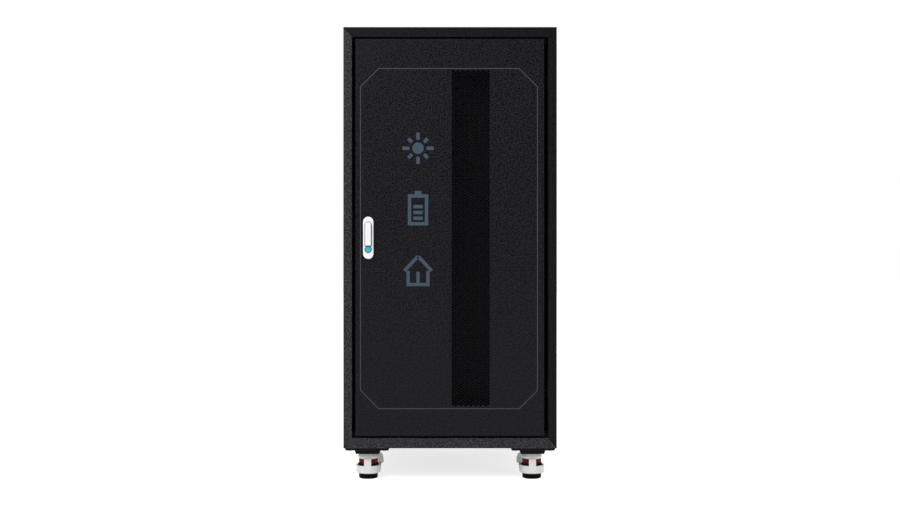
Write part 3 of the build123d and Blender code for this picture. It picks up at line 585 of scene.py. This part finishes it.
def buildDoor(s):
    low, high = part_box("door_skin")
    front, back = low.y, high.y
    bend, sheet = s["bend"], s["sheet"]
    width = high.x - low.x - 2 * bend
    height = high.z - low.z - 2 * bend
    middle = (low + high) / 2
    gridHeight = (s["rows"] - 0.5) * s["pitch"]
    gridZ = high.z - s["grooveTop"] - s["topMargin"] - gridHeight / 2
    face = newObject("doorFace", bpy.data.meshes.new("doorFace"))
    runTree(face, perforatedTree, {
        "Width": width, "Height": height, "Thickness": sheet, "Pitch": s["pitch"],
        "Hole": s["pitch"] - s["web"], "Columns": s["columns"], "Rows": s["rows"],
        "Centre": (middle.x, front + sheet, middle.z),
        "Grid Centre": (s["gridCentre"] - middle.x, gridZ - middle.z, 0),
        "Material": finishes["doorCoat"]})
    finishPiece(face, "door", ["door_skin"])

    steps = 5
    outside = []
    for k in range(steps + 1):
        a = math.pi / 2 * k / steps
        outside.append((bend - bend * math.sin(a), front + bend - bend * math.cos(a)))
    outside += [(0, back - bend * 0.3), (bend * 0.3, back), (s["lip"], back)]
    inside = [(s["lip"], back - sheet), (sheet, back - sheet), (sheet, front + bend),
              (bend, front + sheet)]
    rim = sweptFrame("doorRim", outside + inside, low.x, high.x, low.z, high.z,
                     finishes["doorCoat"])
    boxes = []
    for which in ("lower", "upper"):
        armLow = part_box("hinge_bracket_" + which)[0]
        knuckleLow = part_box("door_knuckle_" + which)[0]
        armTop = knuckleLow.z - s["slotGap"]
        boxes.append(((armLow.x - s["slotSide"], front + sheet + s["slotGap"],
                       armTop - s["slotSide"] - s["notch"]),
                      (high.x + s["slotOver"], back + s["slotOver"], armTop + s["notch"])))
    cutBoxes(rim, boxes)
    finishPiece(rim, "door")

    x0, x1 = low.x + s["grooveLeft"], high.x - s["grooveRight"]
    z0, z1 = low.z + s["grooveBottom"], high.z - s["grooveTop"]

    def octagon(inset):
        a, b, c, d = x0 + inset, x1 - inset, z0 + inset, z1 - inset
        cut = s["chamfer"] - inset * (2 - math.sqrt(2))
        return [(a + cut, c), (b - cut, c), (b, c + cut), (b, d - cut), (b - cut, d), (a + cut, d),
                (a, d - cut), (a, c + cut)]

    # the octagonal line is a thin strip in the lighter colour, a painted highlight standing in for
    # the light caught by the groove
    bm = bmesh.new()
    loops = []
    for inset, y in ((0, front), (s["lineEase"], front - s["lineProud"]),
                     (s["line"] - s["lineEase"], front - s["lineProud"]), (s["line"], front)):
        loops.append([bm.verts.new((x, y, z)) for x, z in octagon(inset)])
    for here, there in zip(loops, loops[1:]):
        for k in range(8):
            n = (k + 1) % 8
            bm.faces.new((here[k], here[n], there[n], there[k]))
    line = meshFrom("grooveHighlightLine", bm, finishes["paintedGrooveHighlight"])
    finishPiece(line, "door")
    dress("door_stiffeners", finishes["doorCoat"], "powder_coat", width=0)
    return front


doorFront = buildDoor(doorSizes)
print("door made")


# symbols on the door: sun, battery, house
symbolSizes = {"centreX": -0.0795, "centreZ": (0.829, 0.676, 0.5225), "stroke": 0.0085,
               "halfWidth": 0.034, "halfHeight": 0.045, "proud": 0.00012}


def buildSymbols(s):
    front = doorFront - s["proud"]
    back = doorFront
    x, stroke = s["centreX"], s["stroke"]
    half, tall = s["halfWidth"], s["halfHeight"]
    count = 0

    def add(outline):
        nonlocal count
        count += 1
        obj = prism(f"symbol{count}", outline, front, back, finishes["symbolPaint"])
        finishPiece(obj, "door")

    def bar(x0, z0, x1, z1):
        along = Vector((x1 - x0, z1 - z0)).normalized() * stroke / 2
        side = Vector((-along.y, along.x))
        a, b = Vector((x0, z0)), Vector((x1, z1))
        add([tuple(a + side), tuple(a - side), tuple(b - side), tuple(b + side)])

    sunZ, batteryZ, houseZ = s["centreZ"]
    add(disc(x, sunZ, half * 0.42))
    for k in range(8):
        a = math.tau * k / 8
        reach = half if k % 2 else half * 1.15
        bar(x + half * 0.62 * math.cos(a), sunZ + half * 0.62 * math.sin(a),
            x + reach * math.cos(a), sunZ + reach * math.sin(a))

    w, h = half * 0.62, tall * 0.86
    bar(x - w, batteryZ - h, x - w, batteryZ + h)
    bar(x + w, batteryZ - h, x + w, batteryZ + h)
    for z in (batteryZ - h + stroke / 2, batteryZ + h - stroke / 2):
        bar(x - w + stroke / 2, z, x + w - stroke / 2, z)
    bar(x - half * 0.25, batteryZ + h + stroke / 2, x + half * 0.25, batteryZ + h + stroke / 2)
    for level in range(3):
        z = batteryZ - h + stroke * 2.1 + level * stroke * 1.7
        bar(x - w + stroke * 1.1, z, x + w - stroke * 1.1, z)

    base = houseZ - tall * 0.8
    eave = houseZ + tall * 0.05
    bar(x - half, eave, x, houseZ + tall * 0.85)
    bar(x + half, eave, x, houseZ + tall * 0.85)
    bar(x - half * 0.72, base, x - half * 0.72, eave)
    bar(x + half * 0.72, base, x + half * 0.72, eave)
    bar(x - half * 0.72 + stroke / 2, base + stroke / 2, x + half * 0.72 - stroke / 2,
        base + stroke / 2)
    bar(x, base + stroke, x, houseZ)


buildSymbols(symbolSizes)
print("symbols made")


# handle
handleSizes = {"shadeOutline": 0.0019, "edge": 0.0022, "shadeOutlineProud": 0.0001, "leverTop": 0.0002,
               "leverEdge": 0.0008, "buttonEdge": 0.0012, "shadeOutlineSink": 0.001}


def buildHandle(s):
    low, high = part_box("handle_base")
    leverLow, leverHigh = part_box("handle_lever")
    buttonLow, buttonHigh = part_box("lock_button")
    x = (low.x + high.x) / 2
    width = high.x - low.x
    base = prism("handleBase", stadium(x, low.z, high.z, width), low.y, high.y,
                 finishes["handleWhite"], s["edge"], 4)
    finishPiece(base, "door", ["handle_base"])

    half = (leverHigh.x - leverLow.x) / 2
    top = leverHigh.z + s["leverTop"]

    def leverOutline(extra):
        radius = half + extra
        centreZ = top - half
        arc = [(x + radius * math.cos(math.pi * k / 16),
                centreZ + radius * math.sin(math.pi * k / 16)) for k in range(17)]
        return arc + [(x - radius, leverLow.z - extra), (x + radius, leverLow.z - extra)]

    # a dark plate behind the lever whose rim shows round it: painted shade standing in for the
    # shadow along the lever's edges
    shadeOutline = prism("leverShadeOutline", leverOutline(s["shadeOutline"]), low.y - s["shadeOutlineProud"],
                low.y + s["shadeOutlineSink"], finishes["paintedGapShade"])
    finishPiece(shadeOutline, "door")
    dress("handle_lever", finishes["handleWhite"], "handle_white", width=s["leverEdge"],
          segments=3)

    centreZ = (buttonLow.z + buttonHigh.z) / 2
    radius = (buttonHigh.x - buttonLow.x) / 2
    # the same painted shade outline round the lock button
    bezel = prism("buttonShadeOutline", disc(x, centreZ, radius + s["shadeOutline"]), low.y - s["shadeOutlineProud"],
                  low.y + s["shadeOutlineSink"], finishes["paintedGapShade"])
    finishPiece(bezel, "door")
    button = prism("lockButton", disc(x, centreZ, radius), buttonLow.y, buttonHigh.y,
                   finishes["buttonBlue"], s["buttonEdge"], 4)
    finishPiece(button, "button", ["lock_button"])
    dress("handle_spindle", finishes["zincSteel"], "zinc_steel", width=0)
    dress("latch_tongue", finishes["zincSteel"], "zinc_steel")


buildHandle(handleSizes)
print("handle made")


# sheet-metal body
bodySizes = {"screwInset": 0.010, "sideScrews": 6, "acrossX": 0.12, "screwRadius": 0.0045,
             "screwHead": 0.0022}


def buildBody(s):
    # the right side and the top panels take the darker copy of the coat, painted shade; the left
    # side and the bottom take the lit one
    for node, coat in (("left_side_panel", "bodyCoat"), ("bottom_panel", "bodyCoat"),
                       ("right_side_panel", "paintedShadeCoat"), ("top_panel", "paintedShadeCoat")):
        dress(node, finishes[coat], "powder_coat", width=0, angle=40)
    dress("rear_panel", finishes["bodyCoat"], "powder_coat", width=0.0002)
    for which in ("lower", "upper"):
        dress("hinge_bracket_" + which, finishes["blackSteel"], "black_steel")
        dress("door_knuckle_" + which, finishes["blackSteel"], "black_steel")
    dress("strike_plate", finishes["blackSteel"], "black_steel")
    dress("door_bumpers", finishes["rubber"], "rubber_black", width=0.0004)
    dress("cable_gland_plate", finishes["zincSteel"], "zinc_steel", width=0)
    dress("cable_grommets", finishes["rubber"], "rubber_black", width=0.0005)
    low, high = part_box("rear_panel")
    inset, count = s["screwInset"], s["sideScrews"]
    points = []
    for z in [low.z + inset + k * (high.z - low.z - 2 * inset) / (count - 1)
              for k in range(count)]:
        points += [(low.x + inset, high.y, z), (high.x - inset, high.y, z)]
    for x in (-s["acrossX"], s["acrossX"]):
        points += [(x, high.y, low.z + inset), (x, high.y, high.z - inset)]
    screws("rearScrews", points, "back", "cabinet", "zincSteel",
           s["screwRadius"], s["screwHead"])


buildBody(bodySizes)
print("body made")


# rack, modules and busbars
rackSizes = {"earInset": 0.00875, "earHeight": 0.0218, "earRadius": 0.0048, "earHead": 0.0024,
             "boltDrop": 0.005, "boltRadius": 0.0075, "boltHead": 0.0055, "ledX": -0.165,
             "ledPitch": 0.009, "ledCount": 5, "ledHeight": 0.045, "ledRadius": 0.0022,
             "ledHead": 0.0012}


def buildRack(s):
    for side in ("left", "right"):
        for node in ("front_post_", "rear_post_", "shelf_rails_"):
            dress(node + side, finishes["blackSteel"], "black_steel", width=0, angle=40)
    for name in moduleNames:
        dress(name, finishes["moduleCase"], "module_case", width=0.0005)
    dress("module_handles", finishes["blackSteel"], "black_steel", width=0.0015, segments=3)
    dress("module_breakers", finishes["breakerGrey"], "breaker_grey", width=0.0006)
    dress("module_terminals", finishes["insulatorRed"], "insulator_red", width=0.0006)
    for node in ("busbar_positive", "busbar_negative", "earth_bar"):
        dress(node, finishes["copper"], "copper", width=0.0005)
    dress("busbar_crossbars", finishes["zincSteel"], "zinc_steel")
    dress("busbar_insulators", finishes["insulatorRed"], "insulator_red", width=0.0006)

    earPoints, boltPoints, ledPoints = [], [], []
    barLow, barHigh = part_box("busbar_positive")
    barX = (barLow.x + barHigh.x) / 2
    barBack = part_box("module_terminals")[1].y + s["boltDrop"]
    for name in moduleNames:
        low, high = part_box(name)
        inset = s["earHeight"]
        for x in (low.x + s["earInset"], high.x - s["earInset"]):
            earPoints += [(x, low.y, low.z + inset), (x, low.y, high.z - inset)]
        z = (low.z + high.z) / 2
        boltPoints += [(-barX, barBack, z), (barX, barBack, z)]
        ledPoints += [(s["ledX"] + k * s["ledPitch"], low.y, z + s["ledHeight"])
                      for k in range(s["ledCount"])]
    screws("earScrews", earPoints, "front", "cabinet", "zincSteel",
           s["earRadius"], s["earHead"])
    screws("busbarBolts", boltPoints, "back", "cabinet", "zincSteel",
           s["boltRadius"], s["boltHead"], 6)
    screws("statusLights", ledPoints, "front", "cabinet", "ledGreen",
           s["ledRadius"], s["ledHead"], 12)


# fittings on the front panels of the modules
fittingSizes = {"sockets": (-0.078, -0.058, -0.038), "socketWidth": 0.015, "socketHeight": 0.0125,
                "socketWall": 0.0016, "socketProud": 0.002, "posts": (0.126, 0.156),
                "postRadius": 0.0095, "postProud": 0.011, "louvres": 7, "louvrePitch": 0.0085,
                "louvreWidth": 0.052, "louvreTall": 0.0035, "louvreProud": 0.0012,
                "louvreX": -0.052,
                "socketDrop": 0.040, "postDrop": 0.034, "boltRadius": 0.0048, "boltHead": 0.003}


def buildFittings(s):
    posts = {"postOrange": [], "blackSteel": []}
    for index, name in enumerate(moduleNames):
        low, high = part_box(name)
        face, middle = low.y, (low.z + high.z) / 2
        z0 = middle - s["socketDrop"]
        postZ = middle - s["postDrop"]
        for k, x in enumerate(s["sockets"]):
            depth = [(0, face), (0, face - s["socketProud"]),
                     (s["socketWall"], face - s["socketProud"]), (s["socketWall"], face)]
            socket = sweptFrame(f"socket{index}_{k}", depth, x, x + s["socketWidth"], z0,
                                z0 + s["socketHeight"], finishes["breakerGrey"])
            finishPiece(socket, "cabinet")
        for material, x in zip(posts, s["posts"]):
            post = prism(f"post_{material}_{index}", disc(x, postZ, s["postRadius"], 24),
                         face - s["postProud"], face, finishes[material], 0.0015)
            finishPiece(post, "cabinet")
            posts[material].append((x, face - s["postProud"], postZ))
        for k in range(s["louvres"]):
            z = middle + (k - 1) * s["louvrePitch"]
            half = s["louvreWidth"] / 2
            x = s["louvreX"]
            slat = stadiumAcross(x - half, x + half, z, s["louvreTall"])
            louvre = prism(f"louvre{index}_{k}", slat, face - s["louvreProud"], face,
                           finishes["moduleCase"], 0.0008, 2)
            finishPiece(louvre, "cabinet")
    for material, points in posts.items():
        screws("postBolts_" + material, points, "front", "cabinet", "zincSteel",
               s["boltRadius"], s["boltHead"], 6)


buildRack(rackSizes)
buildFittings(fittingSizes)
print("rack made")


# casters
# a black ring on the caster cap under the thumbwheel: painted shade, a dark piece standing in for
# the shadow there
darkShadeRingSizes = {"inner": 0.0242, "outer": 0.0268, "taper": 0.001, "low": 0.0333, "rise": 0.0045,
              "edge": 0.0004, "sides": 48}


def darkShadeRing(name, centre, s):
    bm = bmesh.new()
    low = s["low"]
    loops = []
    top = low + s["rise"]
    for radius, z in ((s["inner"], low), (s["outer"], low), (s["outer"] - s["taper"], top),
                      (s["inner"], top)):
        loops.append([bm.verts.new((centre.x + radius * math.cos(math.tau * k / s["sides"]),
                                    centre.y + radius * math.sin(math.tau * k / s["sides"]), z))
                      for k in range(s["sides"])])
    for a, b in zip(loops, loops[1:] + loops[:1]):
        for k in range(s["sides"]):
            j = (k + 1) % s["sides"]
            bm.faces.new((a[k], a[j], b[j], b[k]))
    return bevelled(meshFrom(name, bm, finishes["rubber"]), s["edge"], 2)


casterSizes = {"axleReach": 0.0152, "axleRadius": 0.0052, "axleHead": 0.0026,
               "boltReach": 0.043, "boltRadius": 0.0055, "boltHead": 0.003}


def buildCasters(s):
    dress("caster_foot_plates", finishes["blackSteel"], "black_steel", width=0.0008)
    dress("caster_top_plates", finishes["blackSteel"], "black_steel", width=0.0006)
    for corner in corners:
        dress("caster_housing_" + corner, finishes["casterWhite"], "caster_white", width=0.0006,
              segments=3)
        dress("caster_wheel_" + corner, finishes["wheelNylon"], "wheel_nylon", width=0.0004)
        dress("caster_thumbwheel_" + corner, finishes["thumbRed"], "thumbwheel_red", width=0.0005)
        dress("caster_foot_" + corner, finishes["rubber"], "rubber_black", width=0.0006)
    joints = {joint["name"]: joint for joint in frame["record"]["behaviour"]["joints"]}
    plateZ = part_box("caster_foot_plates")[0].z
    plateBolts = []
    for corner in corners:
        low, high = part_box("caster_wheel_" + corner)
        centre = (low + high) / 2
        axis = Vector(joints["wheel_spin_" + corner]["axis"])
        turn = math.atan2(axis.y, axis.x)
        for side, name in ((1, "out"), (-1, "in")):
            screws(f"axle_{name}_{corner}", [centre + axis * (side * s["axleReach"])],
                   (0, side * math.pi / 2, turn), "swivel_" + corner, "zincSteel",
                   s["axleRadius"], s["axleHead"], 6)
        pivot = Vector(joints["swivel_turn_" + corner]["pos_m"])
        # the black ring under the thumbwheel is painted shade
        ring = darkShadeRing("dark_shade_ring_" + corner, pivot, darkShadeRingSizes)
        finishPiece(ring, "swivel_" + corner)
        plateBolts += [(pivot.x + dx, pivot.y + dy, plateZ)
                       for dx in (-s["boltReach"], s["boltReach"])
                       for dy in (-s["boltReach"], s["boltReach"])]
    screws("plateBolts", plateBolts, "down", "cabinet", "zincSteel",
           s["boltRadius"], s["boltHead"], 6)


buildCasters(casterSizes)
print("casters made")


# stage, lights and camera
def stageMaterial(name, colour, glow):
    # pale floor that keeps the object's shadow; the glow is seen by camera, gloss and glass only
    material = bpy.data.materials.new(name)
    material.use_nodes = True
    tree = material.node_tree
    shader = tree.nodes["Principled BSDF"]
    shader.inputs["Base Color"].default_value = (*colour, 1)
    shader.inputs["Roughness"].default_value = 0.9
    shader.inputs["Specular IOR Level"].default_value = 0.0
    shader.inputs["Emission Color"].default_value = (1, 1, 1, 1)
    path = tree.nodes.new("ShaderNodeLightPath")
    seen = mathNode(tree, "MAXIMUM", path.outputs["Is Camera Ray"], path.outputs["Is Glossy Ray"])
    seen = mathNode(tree, "MAXIMUM", seen, path.outputs["Is Transmission Ray"])
    tree.links.new(mathNode(tree, "MULTIPLY", seen, glow), shader.inputs["Emission Strength"])
    return material


studio = {"floorHalf": 14.0, "floorColour": (0.86, 0.86, 0.86), "floorGlow": 0.74,
          "worldLight": 0.55,
          "lamps": (  # name, place, target, size and power
              ("keyLight", (-1.7, -2.6, 2.7), (0, -0.3, 0.9), (1.6, 1.6), 42.0),
              ("glossLight", (-1.0, -2.7, 2.0), (-0.1, -0.3, 0.95), (0.8, 0.8), 12.0),
              ("fillLight", (3.0, -3.0, 1.4), (0, 0, 0.5), (2.0, 2.4), 16.0),
              ("topLight", (0, -0.4, 3.4), (0, 0, 0.5), (2.6, 2.0), 30.0))}
cameraView = {"distance": 3.0, "eyeHeight": 0.5690, "sideStep": -0.00014, "fieldWidth": 2.2333}


def areaLight(name, place, target, size, power):
    data = bpy.data.lights.new(name, "AREA")
    data.shape = "RECTANGLE"
    data.size, data.size_y = size
    data.energy = power
    lamp = bpy.data.objects.new(name, data)
    lamp.location = place
    lamp.rotation_euler = (Vector(target) - Vector(place)).to_track_quat("-Z", "Y").to_euler()
    scene.collection.objects.link(lamp)


def buildStage(s):
    half = s["floorHalf"]
    mesh = bpy.data.meshes.new("floor")
    mesh.from_pydata([(-half, -half, 0), (half, -half, 0), (half, half, 0), (-half, half, 0)], [],
                     [(0, 1, 2, 3)])
    floor = newObject("floor", mesh, stageMaterial("floorPale", s["floorColour"], s["floorGlow"]))
    world = bpy.data.worlds.new("studioWorld")
    scene.world = world
    world.use_nodes = True
    tree = world.node_tree
    background = tree.nodes["Background"]
    background.inputs["Color"].default_value = (1, 1, 1, 1)
    path = tree.nodes.new("ShaderNodeLightPath")
    seen = mathNode(tree, "MAXIMUM", path.outputs["Is Camera Ray"],
                    path.outputs["Is Transmission Ray"])
    strength = mathNode(tree, "MULTIPLY_ADD", seen, 1.0 - s["worldLight"], s["worldLight"])
    tree.links.new(strength, background.inputs["Strength"])
    for name, place, target, size, power in s["lamps"]:
        areaLight(name, place, target, size, power)


def buildCamera(s):
    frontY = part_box("door_skin")[0].y
    data = bpy.data.cameras.new("camera")
    data.sensor_width = 36
    data.lens = 36 * s["distance"] / s["fieldWidth"]
    camera = bpy.data.objects.new("camera", data)
    camera.location = (s["sideStep"], frontY - s["distance"], s["eyeHeight"])
    camera.rotation_euler = (math.pi / 2, 0, 0)
    scene.collection.objects.link(camera)
    scene.camera = camera


buildStage(studio)
buildCamera(cameraView)
print("stage and camera made")
